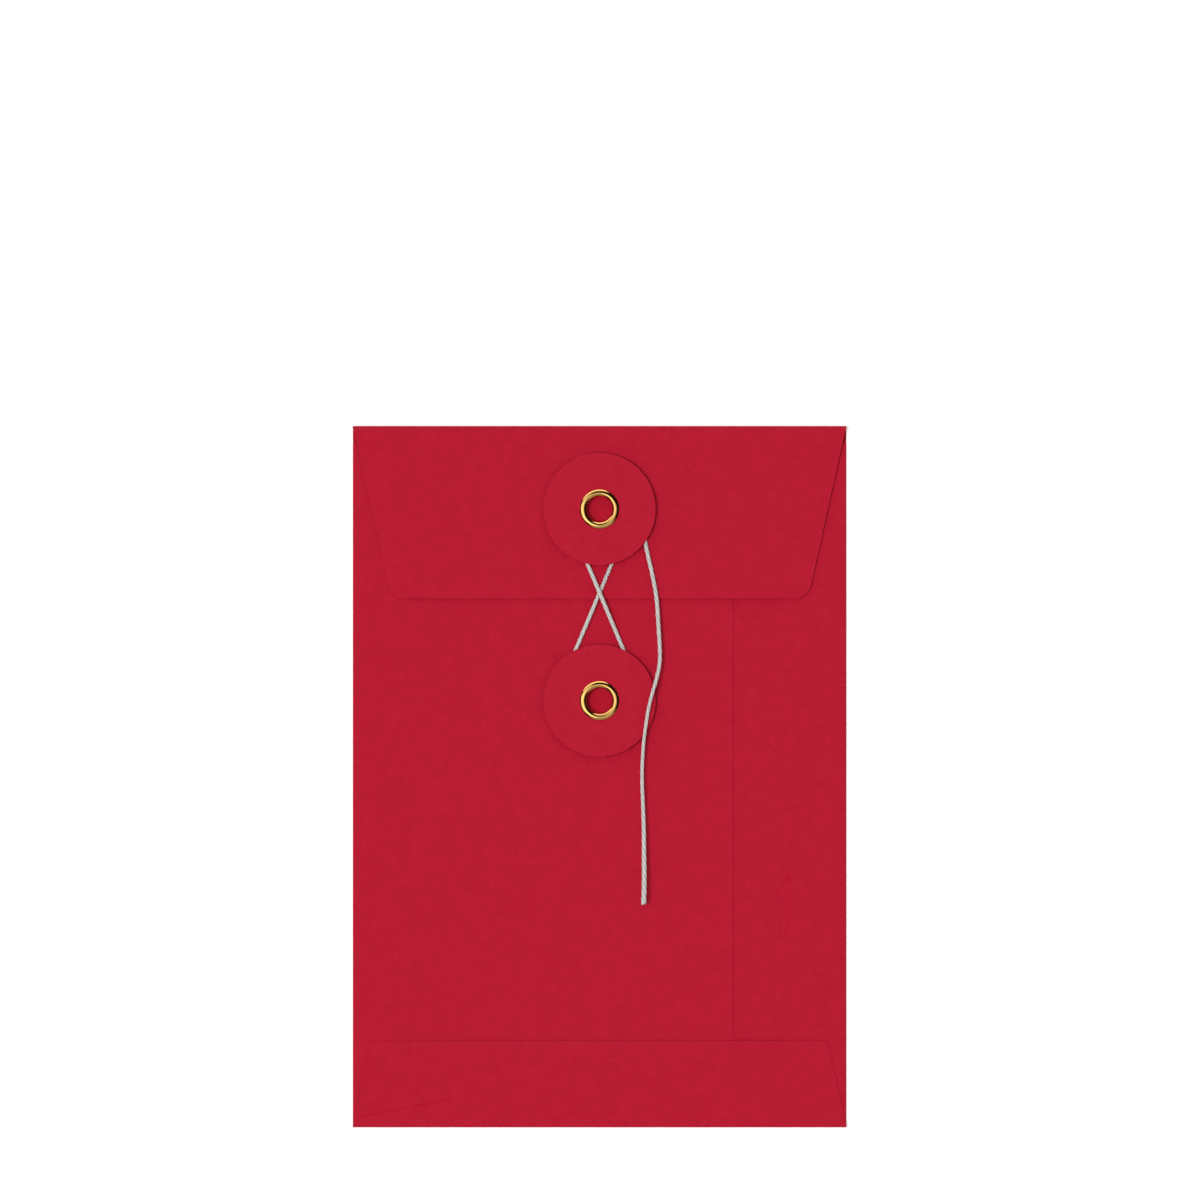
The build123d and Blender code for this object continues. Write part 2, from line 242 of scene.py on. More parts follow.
def smooth_line(corners):
    """Points along the NURBS spline that has these corners as its control points, in millimetres."""
    curve = bpy.data.curves.new("string_route", "CURVE")
    curve.dimensions = "3D"
    curve.resolution_u = LINE_STEPS
    spline = curve.splines.new("NURBS")
    spline.points.add(len(corners) - 1)
    for point, corner in zip(spline.points, corners):
        point.co = (*corner, 1.0)
    spline.order_u = 3
    spline.use_endpoint_u = True
    holder = bpy.data.objects.new("string_route", curve)
    read = bpy.data.meshes.new_from_object(holder)
    points = [vertex.co.copy() for vertex in read.vertices]
    bpy.data.objects.remove(holder)
    bpy.data.curves.remove(curve)
    bpy.data.meshes.remove(read)
    return points


line = smooth_line(route)
distances = [0.0]
for before, after in zip(line, line[1:]):
    distances.append(distances[-1] + (after - before).length)
print("string line:", len(line), "points,", round(distances[-1], 1), "mm long")

# %% [markdown]
# ## Colours and nodes
# Paint and paper charts give colours as sRGB hex values, but shaders add up light in linear values. One
# function turns the first into the second. Another adds a shader node: what it is set to, and what feeds
# it. Two short ones start a material and link its shader, and every material below is made with these.

# %% Functions for colours, nodes and materials


def linear(hex_colour):
    """An sRGB hex colour as linear red, green, blue and alpha."""
    shares = [int(hex_colour[i : i + 2], 16) / 255 for i in (1, 3, 5)]
    return [*(s / 12.92 if s <= 0.04045 else ((s + 0.055) / 1.055) ** 2.4 for s in shares), 1.0]


def add_node(tree, kind, inputs, **settings):
    """Add a node. An input that is another node's output is linked, and any other value is set."""
    made = tree.nodes.new(kind)
    for name, value in settings.items():
        setattr(made, name, value)
    for name, value in inputs.items():
        if isinstance(value, bpy.types.NodeSocket):
            tree.links.new(value, made.inputs[name])
        else:
            made.inputs[name].default_value = value
    return made


def surface(name, inputs):
    """A new material with the fixed values of its surface set, its node tree and its shader."""
    material = bpy.data.materials.new(name)
    material.use_nodes = True
    shader = material.node_tree.nodes["Principled BSDF"]
    for socket, value in inputs.items():
        shader.inputs[socket].default_value = value
    return material, material.node_tree, shader


def feed(tree, shader, **links):
    """Link outputs to a shader's sockets, named with _ for a space."""
    for name, output in links.items():
        tree.links.new(output, shader.inputs[name.replace("_", " ")])


print("a mid grey of #808080 is", round(linear("#808080")[0], 3), "in linear light")

# %% [markdown]
# ## Twisted cotton
# The string is bleached cotton, spun into three yarns and laid up with an S twist. Cotton is matt, with a
# faint sheen from its fuzz, and each yarn is a bundle of fine fibres that run along it. The mesh carries
# a place along and around the twist, so that the fibres can follow it wherever the string goes, and how
# deep each point lies in a groove, because shade painted into the grooves is what makes the twist show.

# %% Cotton material: bleached, spun and twisted
FIBRE_WIDTH = 0.08
FIBRE_LENGTH = 1.6
FIBRE_DEPTH = 0.03


def twisted_cotton():
    """Bleached cotton yarn: matt pale grey fibres, painted shade in the grooves between, a little fuzz."""
    material, tree, shader = surface(
        "bleached_twisted_cotton",
        {
            "IOR": 1.53,
            "Roughness": 0.9,
            "Specular IOR Level": 0.2,
            "Sheen Weight": 0.1,
            "Sheen Roughness": 0.6,
        },
    )
    place = add_node(tree, "ShaderNodeAttribute", {}, attribute_name="twist_place").outputs["Vector"]
    # Fibres are drawn a few times wider than the real 0.02 mm, so that they show
    stretched = add_node(
        tree,
        "ShaderNodeMapping",
        {"Vector": place, "Scale": (1 / FIBRE_LENGTH, 1 / FIBRE_WIDTH, 0.0)},
        vector_type="POINT",
    ).outputs["Vector"]
    fibres = add_node(
        tree, "ShaderNodeTexNoise", {"Vector": stretched, "Scale": 1.0, "Detail": 3.0}
    ).outputs["Fac"]
    shade = add_node(tree, "ShaderNodeValToRGB", {"Fac": fibres})
    shade.color_ramp.elements[0].position = 0.3
    shade.color_ramp.elements[0].color = linear("#B8B6B2")
    shade.color_ramp.elements[1].position = 0.65
    shade.color_ramp.elements[1].color = linear("#E2E0DC")
    # Painted shade: the colour darkens with depth in the grooves between the yarns, where little light gets
    # out
    groove = add_node(tree, "ShaderNodeSeparateXYZ", {"Vector": place}).outputs["Z"]
    painted_groove_shade = add_node(tree, "ShaderNodeValToRGB", {"Fac": groove})
    painted_groove_shade.color_ramp.elements[0].position = 0.3
    painted_groove_shade.color_ramp.elements[0].color = linear("#FFFFFF")
    painted_groove_shade.color_ramp.elements[1].position = 1.0
    painted_groove_shade.color_ramp.elements[1].color = linear("#C4C3C1")
    twisted = add_node(
        tree,
        "ShaderNodeMixRGB",
        {"Fac": 1.0, "Color1": shade.outputs["Color"], "Color2": painted_groove_shade.outputs["Color"]},
        blend_type="MULTIPLY",
    ).outputs["Color"]
    bump = add_node(
        tree, "ShaderNodeBump", {"Height": fibres, "Strength": 0.4, "Distance": FIBRE_DEPTH * MM}
    )
    feed(tree, shader, Base_Color=twisted, Normal=bump.outputs["Normal"])
    return material


cotton = twisted_cotton()
print("cotton:", len(cotton.node_tree.nodes), "nodes")

# %% [markdown]
# ## One tight twist round the line
# The three yarns are pulled so tight that they press into one another. The string is nearly round, with
# three shallow grooves that wind along it, and finer ones between its threads. One tube has just this
# section, turned a little more at each step, so the grooves are real and catch the light. The tail is
# drawn thinner where it was pulled across the lower button. Towards its cut end the string works loose:
# it swells, and the scissors' cut is aslant.

# %% Wind the string
YARNS = 3
LAY = 5.8
GROOVE = 0.13
THREADS = 9
THREAD_DEPTH = 0.012
STRING_SIDES = 36
DRAWN_TIGHT = 0.96
WAIST = 0.17
WAIST_FROM_END = 40.0
WAIST_REACH = 16.0
SWELL = 0.22
SWELL_LENGTH = 24.0
FLARE = 0.1
FLARE_LENGTH = 1.5
CUT_SLANT = 0.35


def smooth_step(share):
    """From 0 to 1, with a soft start and end."""
    share = min(1.0, max(0.0, share))
    return share * share * (3 - 2 * share)


def line_frame(i):
    """The direction of the line at a point, and two directions square to it."""
    direction = (line[min(i + 1, len(line) - 1)] - line[max(i - 1, 0)]).normalized()
    side = direction.cross(Vector((0, 0, 1))).normalized()
    return direction, side, side.cross(direction)


def string_ring(i):
    """One ring of the string, with each point's place along and around the twist, and in a groove."""
    direction, side, up = line_frame(i)
    remaining = distances[-1] - distances[i]
    opening = smooth_step(1 - remaining / FLARE_LENGTH)
    drawn = DRAWN_TIGHT - WAIST * math.exp(-(((remaining - WAIST_FROM_END) / WAIST_REACH) ** 2))
    swollen = SWELL * smooth_step(1 - remaining / SWELL_LENGTH) + FLARE * opening
    radius = STRING / 2 * (drawn + swollen)
    middle = line[i] + up * (radius - STRING / 2)
    ring, places = [], []
    for k in range(STRING_SIDES):
        on_yarn = 2 * math.pi * k / STRING_SIDES
        groove_here = 1 - abs(math.cos(YARNS * on_yarn / 2))
        thread_here = math.cos(THREADS * on_yarn)
        reach = radius * (1 - GROOVE * groove_here + THREAD_DEPTH * thread_here)
        angle = on_yarn + 2 * math.pi * distances[i] / LAY
        out = (side * math.cos(angle) + up * math.sin(angle)) * reach
        ring.append(middle + out + direction * (CUT_SLANT * opening * out.dot(side)))
        places.append((distances[i], on_yarn * radius, groove_here))
    return ring, places


def tube(rings, first):
    """Faces of a closed tube through rings of points, where first is the number of its first point."""
    sides = len(rings[0])
    faces = []
    for i in range(len(rings) - 1):
        start = first + i * sides
        for k in range(sides):
            after = (k + 1) % sides
            faces.append((start + k, start + after, start + sides + after, start + sides + k))
    faces.append([first + k for k in reversed(range(sides))])
    faces.append([first + (len(rings) - 1) * sides + k for k in range(sides)])
    return faces


wound = [string_ring(i) for i in range(len(line))]
string_points = [point for ring, places in wound for point in ring]
twist_places = [place for ring, places in wound for place in places]
string_faces = tube([ring for ring, places in wound], 0)
print("string:", YARNS, "yarns, one turn every", LAY, "mm,", len(string_faces), "faces")

# %% Cut fibres that stand out at the end
CUT_FIBRES = 60
CUT_FIBRE_RADIUS = 0.03
CUT_FIBRE_LENGTH = (0.15, 0.4)
CUT_FIBRE_TAPER = 0.6
ROOT_DEPTH = 0.5
ROOT_SPREAD = 0.8
HEADING_SPREAD = 0.9
FIBRE_STEPS = 4
FIBRE_SIDES = 3
fibre_random = random.Random(7)


def cut_fibre():
    """Rings of one short fibre that stands out of the cut end, a little to one side."""
    direction, side, up = line_frame(len(line) - 1)
    ring = wound[-1][0]
    middle = sum(ring, Vector()) / len(ring)
    root = middle.lerp(fibre_random.choice(ring), math.sqrt(fibre_random.uniform(0, ROOT_SPREAD)))
    heading = direction + (root - middle) * fibre_random.uniform(0, HEADING_SPREAD)
    heading.normalize()
    length = fibre_random.uniform(*CUT_FIBRE_LENGTH)
    rings = []
    for step in range(FIBRE_STEPS):
        share = step / (FIBRE_STEPS - 1)
        at = root + heading * (length * ((1 + ROOT_DEPTH) * share - ROOT_DEPTH))
        radius = CUT_FIBRE_RADIUS * (1 - CUT_FIBRE_TAPER * share)
        corners = [2 * math.pi * k / FIBRE_SIDES for k in range(FIBRE_SIDES)]
        rings.append([at + (side * math.cos(a) + up * math.sin(a)) * radius for a in corners])
    return rings


for _ in range(CUT_FIBRES):
    rings = cut_fibre()
    string_faces += tube(rings, len(string_points))
    string_points += [point for ring in rings for point in ring]
    twist_places += [(distances[-1], 0.0, 0.0)] * (FIBRE_SIDES * FIBRE_STEPS)
print("cut fibres:", CUT_FIBRES)

# %% [markdown]
# ## From points to pieces
# Every piece below ends the same way: points in millimetres become a mesh in metres, any modifiers are
# applied, faces turn outward, and the shading is smooth except across sharp edges.

# %% Make a piece, and settle its surface
SHARP_ANGLE = 40.0


def make_piece(name, points, faces, material):
    """A mesh object with one material, from points in millimetres."""
    mesh = bpy.data.meshes.new(name)
    mesh.from_pydata([Vector(point) * MM for point in points], [], faces)
    mesh.materials.append(material)
    return add_object(name, mesh)


def settle(piece):
    """Apply a piece's modifiers, turn its faces outward and shade it smooth between sharp edges."""
    final = bpy.data.meshes.new_from_object(piece.evaluated_get(bpy.context.evaluated_depsgraph_get()))
    piece.modifiers.clear()
    piece.data = final
    shape = bmesh.new()
    shape.from_mesh(final)
    bmesh.ops.recalc_face_normals(shape, faces=shape.faces)
    shape.to_mesh(final)
    shape.free()
    final.shade_smooth()
    final.set_sharp_from_angle(angle=math.radians(SHARP_ANGLE))
    print(piece.name, "has", len(final.polygons), "faces")
    return piece


string = make_piece("tie_string_twist", string_points, string_faces, cotton)
place_layer = string.data.attributes.new("twist_place", "FLOAT_VECTOR", "POINT")
place_layer.data.foreach_set("vector", [value for place in twist_places for value in place])
settle(string)
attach(string, "flap")
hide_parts("tie_string")

# %% [markdown]
# ## Dyed paper and card
# The envelope is uncoated paper, coloured in the pulp and lightly pressed, so even its cut edges are red.
# Uncoated paper has almost no gloss. What the eye gets is a faint cloudiness where the fibres lie
# thicker, and a fine tooth. Where it was rubbed, the fuzz lies flat and the dye looks deeper. The buttons
# are punched from thicker card of the same red.

# %% Paper material: uncoated, dyed in the pulp
CLOUD = 3.0
CLOUD_SHARE = 0.4
TOOTH = 0.5
SPECK_SPACING = 11.0
SPECK_RADIUS = 0.16
RED_SPECK, RED_DARK, RED_LIGHT = "#8E1226", "#AE112A", "#BE1A33"
RUBBED_TINT = "#FF95D0"


def dyed_pulp(name, tooth_depth, roughness):
    """Uncoated paper or card, dyed through: a little cloudy, with fine fibres and hardly any gloss."""
    material, tree, shader = surface(name, {"IOR": 1.5, "Roughness": roughness, "Specular IOR Level": 0.12})
    place = add_node(tree, "ShaderNodeTexCoord", {}).outputs["Object"]
    clouds = add_node(
        tree, "ShaderNodeTexNoise", {"Vector": place, "Scale": 1 / (CLOUD * MM), "Detail": 2.0}
    ).outputs["Fac"]
    # Real fibres are some 0.03 mm wide; they are drawn in clumps of this size, so that they show
    fibres = add_node(
        tree,
        "ShaderNodeTexNoise",
        {"Vector": place, "Scale": 1 / (TOOTH * MM), "Detail": 4.0, "Roughness": 0.65, "Distortion": 0.8},
    ).outputs["Fac"]
    mottle = add_node(
        tree, "ShaderNodeMath", {0: clouds, 1: CLOUD_SHARE, 2: fibres}, operation="MULTIPLY_ADD"
    )
    # A stray dark fibre shows as a speck, about one in every square centimetre
    to_speck = add_node(tree, "ShaderNodeTexVoronoi", {"Vector": place, "Scale": 1 / (SPECK_SPACING * MM)})
    clear = add_node(
        tree,
        "ShaderNodeMapRange",
        {"Value": to_speck.outputs["Distance"], "From Max": SPECK_RADIUS / SPECK_SPACING},
    )
    spotted = add_node(
        tree, "ShaderNodeMath", {0: mottle.outputs[0], 1: clear.outputs["Result"]}, operation="MULTIPLY"
    )
    shade = add_node(tree, "ShaderNodeValToRGB", {"Fac": spotted.outputs[0]})
    shade.color_ramp.elements[0].color = linear(RED_SPECK)
    shade.color_ramp.elements[1].position = 0.95
    shade.color_ramp.elements[1].color = linear(RED_LIGHT)
    shade.color_ramp.elements.new(0.45).color = linear(RED_DARK)
    # Each sheet's points say how hard they were rubbed, and a sheet that says nothing wasn't
    rubbed = add_node(tree, "ShaderNodeAttribute", {}, attribute_name="rubbed").outputs["Fac"]
    deepened = add_node(
        tree,
        "ShaderNodeMixRGB",
        {"Fac": rubbed, "Color1": shade.outputs["Color"], "Color2": linear(RUBBED_TINT)},
        blend_type="MULTIPLY",
    ).outputs["Color"]
    bump = add_node(
        tree, "ShaderNodeBump", {"Height": fibres, "Strength": 0.3, "Distance": tooth_depth * MM}
    )
    feed(tree, shader, Base_Color=deepened, Normal=bump.outputs["Normal"])
    return material


paper = dyed_pulp("uncoated_red_paper", tooth_depth=0.012, roughness=0.85)
card = dyed_pulp("punched_red_card", tooth_depth=0.008, roughness=0.8)
print("paper and card:", paper.name, card.name)

# %% [markdown]
# ## Folding a sheet
# Each back panel is a sheet that comes round a fold and then lies flat. A flat plate with a rounded strip
# beside it would show a joint, so one grid of points runs round the half circle of the fold and on over
# the panel, and a Solidify modifier gives it the paper's thickness on the inside. Rows and columns stand
# closer together only where the paper has marks to show.

# %% Stops along an edge, a fold's section, and a folded sheet
PAPER = 0.2
FOLD_STEPS = 14
PANEL_STEP = 3.0
LEAST_STEP = 0.001


def stops(start, end, step, *finer):
    """Positions from start to end, a step apart, and closer within each finer (start, end, step)."""
    places, at = [start], start
    while at < end - LEAST_STEP:
        closer = [fine for low, high, fine in finer if low <= at < high]
        at = min(at + min([step, *closer]), end)
        places.append(at)
    return places


def fold_section(radius, flats):
    """A sheet's section out of a fold, as (distance in, height): half a round, then flat stops."""
    half_turn = [math.pi * i / FOLD_STEPS for i in range(FOLD_STEPS)]
    bend = [(-radius * math.sin(a), radius * (1 - math.cos(a))) for a in half_turn]
    return bend + [(flat, 2 * radius) for flat in flats]


def folded_sheet(name, section, rows, place):
    """A sheet of paper: a grid over a section and rows, where place puts (distance in, height, row)."""
    points = [place(inward, height, row) for inward, height in section for row in rows]
    count = len(rows)
    faces = []
    for i in range(len(section) - 1):
        for k in range(count - 1):
            corner = i * count + k
            faces.append((corner, corner + count, corner + count + 1, corner + 1))
    sheet = make_piece(name, points, faces, paper)
    if sheet.data.polygons[-1].normal.z < 0:
        sheet.data.flip_normals()
    thickness = sheet.modifiers.new("paper thickness", "SOLIDIFY")
    thickness.thickness = PAPER * MM
    thickness.offset = -1.0
    return sheet


print("a fold has", FOLD_STEPS, "steps in its half round")

# %% [markdown]
# ## Holes for the eyelets
# The eyelets' barrels go through punched holes, and the paper behind shows through them. A Boolean
# modifier cuts each hole with a round punch, which is deleted once the cut is applied.

# %% Punch a hole
EYELET_BORE = 6.1
EYELET_WALL = 0.25
HOLE_CLEARANCE = 0.05
PUNCH_STEPS = 96
PUNCH_DEPTH = 6.0
hole_radius = EYELET_BORE / 2 + EYELET_WALL + HOLE_CLEARANCE


def punch(sheet, y):
    """Cut the round hole of an eyelet through a sheet, and settle its surface."""
    rings = []
    for z in (-PUNCH_DEPTH, PUNCH_DEPTH):
        angles = [2 * math.pi * k / PUNCH_STEPS for k in range(PUNCH_STEPS)]
        rings.append([(hole_radius * math.cos(a), y + hole_radius * math.sin(a), z) for a in angles])
    tool = make_piece("punch", [point for ring in rings for point in ring], tube(rings, 0), paper)
    cut = sheet.modifiers.new("eyelet hole", "BOOLEAN")
    cut.operation = "DIFFERENCE"
    cut.solver = "EXACT"
    cut.object = tool
    settle(sheet)
    bpy.data.objects.remove(tool)


print("eyelet holes are", round(2 * hole_radius, 2), "mm wide")

# %% [markdown]
# ## Marks in the paper
# Handled paper keeps faint marks: the slanted foot of the wide panel shows through the bottom flap as a
# line, the narrow panel has a small dent, and there are fainter lines where something pressed. Each is an
# area of a few points, pressed in by up to about 0.13 mm in the mesh itself, with soft sides that turn
# from the light.

# %% Pressed marks


def distance_to(outline, x, y):
    """How far a point is from the sides of an outline, as seen from above."""
    nearest = math.inf
    here = Vector((x, y))
    for start, end in zip(outline, outline[1:] + outline[:1]):
        run = Vector(end) - Vector(start)
        share = min(1.0, max(0.0, (here - Vector(start)).dot(run) / run.length_squared))
        nearest = min(nearest, (here - Vector(start) - run * share).length)
    return nearest


def inside(outline, x, y):
    """Whether a point lies inside an outline, as seen from above."""
    crossings = 0
    for (x0, y0), (x1, y1) in zip(outline, outline[1:] + outline[:1]):
        if (y0 > y) != (y1 > y) and x < x0 + (y - y0) * (x1 - x0) / (y1 - y0):
            crossings += 1
    return crossings % 2 == 1


def pressed(marks, x, y):
    """Height of the paper at a place, below the flat, from marks of (outline, depth, softness)."""
    height = 0.0
    for outline, depth, soft in marks:
        outward = distance_to(outline, x, y) * (-1 if inside(outline, x, y) else 1)
        height -= depth * smooth_step((soft - outward) / (2 * soft))
    return height


PANEL_MARKS = [
    ([(44.1, -22.6), (40.9, -26.8), (40.7, -32.1), (42.5, -36.7), (43.2, -36.7)], 0.13, 0.3),
    ([(44.0, 37.9), (44.2, 37.9), (44.2, 17.6), (44.0, 17.6)], 0.02, 0.25),
]
FLAP_MARKS = [
    ([(-56.6, -78.7), (-34.6, -74.45), (-34.6, -74.6), (-56.6, -78.85)], 0.12, 0.16),
    ([(-35.6, -77.1), (27.9, -78.2), (27.9, -78.4), (-35.6, -77.3)], 0.02, 0.25),
]
print("pressed marks:", len(PANEL_MARKS), "on the narrow panel,", len(FLAP_MARKS), "on the bottom flap")

# %% [markdown]
# ## Rubbed lines
# Along the sharpest marks the paper is rubbed, and there it looks a deeper red. The lines could be painted
# in an image, but an image has only so many pixels. Here each point of a sheet keeps how hard it was
# rubbed, and the paper's colour follows that.

# %% Rubbed lines, as (start, end, strength)
RUB_REACH = 0.3


def rub(sheet, lines):
    """Note on each point of a sheet how hard it was rubbed, from lines of (start, end, strength)."""
    layer = sheet.data.attributes.new("rubbed", "FLOAT", "POINT")
    for vertex, note in zip(sheet.data.vertices, layer.data):
        x, y = vertex.co.x / MM, vertex.co.y / MM
        for start, end, strength in lines:
            near = smooth_step(1 - distance_to([start, end], x, y) / RUB_REACH)
            note.value = max(note.value, strength * near)


PANEL_RUBS = [
    ((44.1, -22.6), (40.9, -26.8), 1.0),
    ((44.1, -22.6), (43.2, -36.7), 0.75),
    ((41.8, -34.9), (43.2, -36.7), 0.5),
]
FLAP_RUBS = [
    ((-56.6, -78.75), (-34.6, -74.5), 1.0),
    ((-35.6, -77.2), (27.9, -78.3), 0.1),
]
print("rubbed lines:", len(PANEL_RUBS), "on the narrow panel,", len(FLAP_RUBS), "on the bottom flap")

# %% [markdown]
# ## The two back panels
# The wide panel folds in from the left and carries the lower button. The narrow one folds in from the
# right and reaches under it, where they are glued. Their feet are cut on a slant, out of sight under the
# bottom flap.

# %% Wide panel, with its fold
PANEL_FOOT_RUN = 21.0
PANEL_FOOT_RISE = 4.1


def back_panel(name, panel, fold, inward_sign, columns_finer=(), rows_finer=(), marks=(), rubs=()):
    """A back panel with its side fold, from the fold's underside to the panel's free edge."""
    radius = high_of(fold).z / 2
    fold_x = high_of(panel).x if inward_sign < 0 else low_of(panel).x
    width = high_of(panel).x - low_of(panel).x
    foot, throat = low_of(fold).y, high_of(fold).y

    def place(inward, height, row):
        rise = PANEL_FOOT_RISE * min(1.0, max(0.0, inward / PANEL_FOOT_RUN))
        x = fold_x + inward_sign * inward
        y = foot + rise + (row - foot) * (throat - foot - rise) / (throat - foot)
        dip = pressed(marks, x, y) if inward > 0 else 0.0
        return (x, y, height + dip)

    section = fold_section(radius, stops(0.0, width, PANEL_STEP, *columns_finer))
    sheet = folded_sheet(name, section, stops(foot, throat, PANEL_STEP, *rows_finer), place)
    rub(sheet, rubs)
    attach(sheet, "pocket")
    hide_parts(panel, fold)
    return sheet


wide_panel = back_panel("wide_back_panel", "left_panel", "left_fold", 1)
punch(wide_panel, body_button)

# %% Narrow panel, with closer columns and rows where its marks are: (start, end, step)
MARKED_COLUMNS = (11.6, 17.0, 0.15)
DENT_ROWS = (-39.0, -20.0, 0.25)
LINE_ROWS = (16.0, 40.0, 1.0)
narrow_panel = back_panel(
    "narrow_back_panel",
    "right_panel",
    "right_fold",
    -1,
    columns_finer=[MARKED_COLUMNS],
    rows_finer=[DENT_ROWS, LINE_ROWS],
    marks=PANEL_MARKS,
    rubs=PANEL_RUBS,
)
settle(narrow_panel)

# %% [markdown]
# ## The bottom flap
# The bottom flap folds up over both panels and is glued there. It draws in towards its free edge, with
# rounded corners. Past the side seam it settles on the narrow panel, which lies lower, and its free edge
# curls up a little, which is why it casts a thin shadow.

# %% A tapered flap's half width
CORNER_STEPS = 8


def flap_outline(depth, half_width, edge_half, corner):
    """Stops along a tapered flap from its fold to its free edge, and a function for its half width."""
    taper = math.atan2(half_width - edge_half, depth)
    middle_in = depth - corner
    middle_out = half_width - (half_width - edge_half) * middle_in / depth - corner / math.cos(taper)
    tangent_in = middle_in + corner * math.sin(taper)
    angles = [taper + (math.pi / 2 - taper) * i / CORNER_STEPS for i in range(1, CORNER_STEPS + 1)]

    def half(inward):
        if inward <= tangent_in:
            return half_width - (half_width - edge_half) * max(0.0, inward) / depth
        return middle_out + math.sqrt(max(0.0, corner**2 - (inward - middle_in) ** 2))

    return tangent_in, [middle_in + corner * math.sin(a) for a in angles], half


print("rounded corners have", CORNER_STEPS, "steps")

# %% Bottom flap with its fold
BOTTOM_FLAP_INSET = 4.4
BOTTOM_FLAP_CORNER = 2.0
FLAP_ROW_STEP = 1.5
MARKED_ROWS = (0.8, 6.2, 0.14)
ACROSS_STEP = 0.6
# How far the flap settles past the seam, and how far across and in from the fold that takes
SETTLE = 0.26
SETTLE_ACROSS = 15.0
SETTLE_IN = 2.5
# How far its free edge curls up, from how far in, and from where to where along it
CURL = 0.16
CURL_REACH = 3.0
CURL_FROM, CURL_TO = -46.0, 56.0
CURL_RUN = 20.0


def bottom_flap():
    """The flap that closes the pocket's bottom end, with the fold that it comes out of."""
    low, high = low_of("bottom_flap"), high_of("bottom_flap")
    radius = high.z / 2
    half_width = high.x
    seam_x = high_of("left_panel").x
    tangent_in, corner_stops, half = flap_outline(
        high.y - low.y, half_width, half_width - BOTTOM_FLAP_INSET, BOTTOM_FLAP_CORNER
    )
    flats = stops(0.0, tangent_in, FLAP_ROW_STEP, MARKED_ROWS) + corner_stops
    rows = stops(-1.0, 1.0, ACROSS_STEP / half_width)

    def place(inward, height, row):
        x, y = row * half(inward), low.y + inward
        dip = pressed(FLAP_MARKS, x, y) if inward > 0 else 0.0
        step_down = smooth_step((x - seam_x) / SETTLE_ACROSS) * smooth_step(inward / SETTLE_IN)
        curl = smooth_step(1 - (high.y - y) / CURL_REACH)
        curl *= smooth_step(min(x - CURL_FROM, CURL_TO - x) / CURL_RUN)
        return (x, y, height + dip - SETTLE * step_down + CURL * curl)

    sheet = folded_sheet("bottom_flap_sheet", fold_section(radius, flats), rows, place)
    rub(sheet, FLAP_RUBS)
    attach(sheet, "pocket")
    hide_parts("bottom_flap", "bottom_fold")
    settle(sheet)


bottom_flap()

# %% [markdown]
# ## The closing flap
# The closing flap is the same sheet as the address side, turned over at a crease. When it opens, the
# crease bends and the flap swings as a whole, so both are made as one piece. The eyelet holds the flap's
# middle up. Its sides settle on the back, the left one close to its edge, and its free edge lifts a little
# on both sides of the string.

# %% Closing flap with its crease
FLAP_INSET = 8.85
FLAP_CORNER = 4.0
FLAP_STEP = 2.0
# How far each side settles, over what distance from it, and how soon after the crease
LEFT_SAG, LEFT_REACH = 0.42, 6.0
RIGHT_SAG, RIGHT_REACH = 0.3, 16.0
SAG_START = 8.0
# How far the free edge lifts, from how far in, from where to each side, and how near the sides
LIFT = 0.28
LIFT_REACH = 12.0
LIFT_FROM, LIFT_RUN = 14.0, 10.0
LIFT_SIDE = 6.0


def closing_flap():
    """The flap and its crease, as one sheet that runs round the crease's half round and on over the flap."""
    low, high = low_of("closure_flap"), high_of("closure_flap")
    radius = high.z / 2
    crease_half = high_of("flap_crease").x
    tangent_in, corner_stops, half = flap_outline(
        high.y - low.y, high.x, crease_half - FLAP_INSET, FLAP_CORNER
    )
    flats = stops(0.0, tangent_in, FLAP_STEP) + corner_stops
    rows = stops(-1.0, 1.0, FLAP_STEP / crease_half)

    def place(inward, height, row):
        reach = half(inward) if inward >= 0 else crease_half
        sag, sag_reach = (LEFT_SAG, LEFT_REACH) if row < 0 else (RIGHT_SAG, RIGHT_REACH)
        x, y, from_side = row * reach, high.y - inward, reach * (1 - abs(row))
        drop = sag * smooth_step(1 - from_side / sag_reach) * smooth_step(inward / SAG_START)
        lift = LIFT * smooth_step(1 - (y - low.y) / LIFT_REACH)
        lift *= smooth_step((abs(x) - LIFT_FROM) / LIFT_RUN) * smooth_step(from_side / LIFT_SIDE)
        return (x, y, height - drop + lift)

    sheet = folded_sheet("closing_flap_sheet", fold_section(radius, flats), rows, place)
    punch(sheet, flap_button)
    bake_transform(sheet)
    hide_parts("closure_flap", "flap_crease")


closing_flap()

# %% [markdown]
# ## Parts that keep their own shape
# The address side is a plain sheet, and the spacers and the glue are out of sight. Their solids are
# already right, so they keep their meshes and only take a material.

# %% Glue material, and materials for the plain parts
GLUE_STREAK = 2.0


def dried_glue():
    """Dried paste in a thin film: dull and cloudy, a little glossier than the paper."""
    material, tree, shader = surface("dried_paste", {"IOR": 1.48, "Roughness": 0.5})
    place = add_node(tree, "ShaderNodeTexCoord", {}).outputs["Object"]
    streaks = add_node(
        tree, "ShaderNodeTexNoise", {"Vector": place, "Scale": 1 / (GLUE_STREAK * MM), "Detail": 3.0}
    )
    shade = add_node(tree, "ShaderNodeValToRGB", {"Fac": streaks.outputs["Fac"]})
    shade.color_ramp.elements[0].color = linear("#B8A98F")
    shade.color_ramp.elements[1].color = linear("#D8CCB6")
    feed(tree, shader, Base_Color=shade.outputs["Color"])
    return material


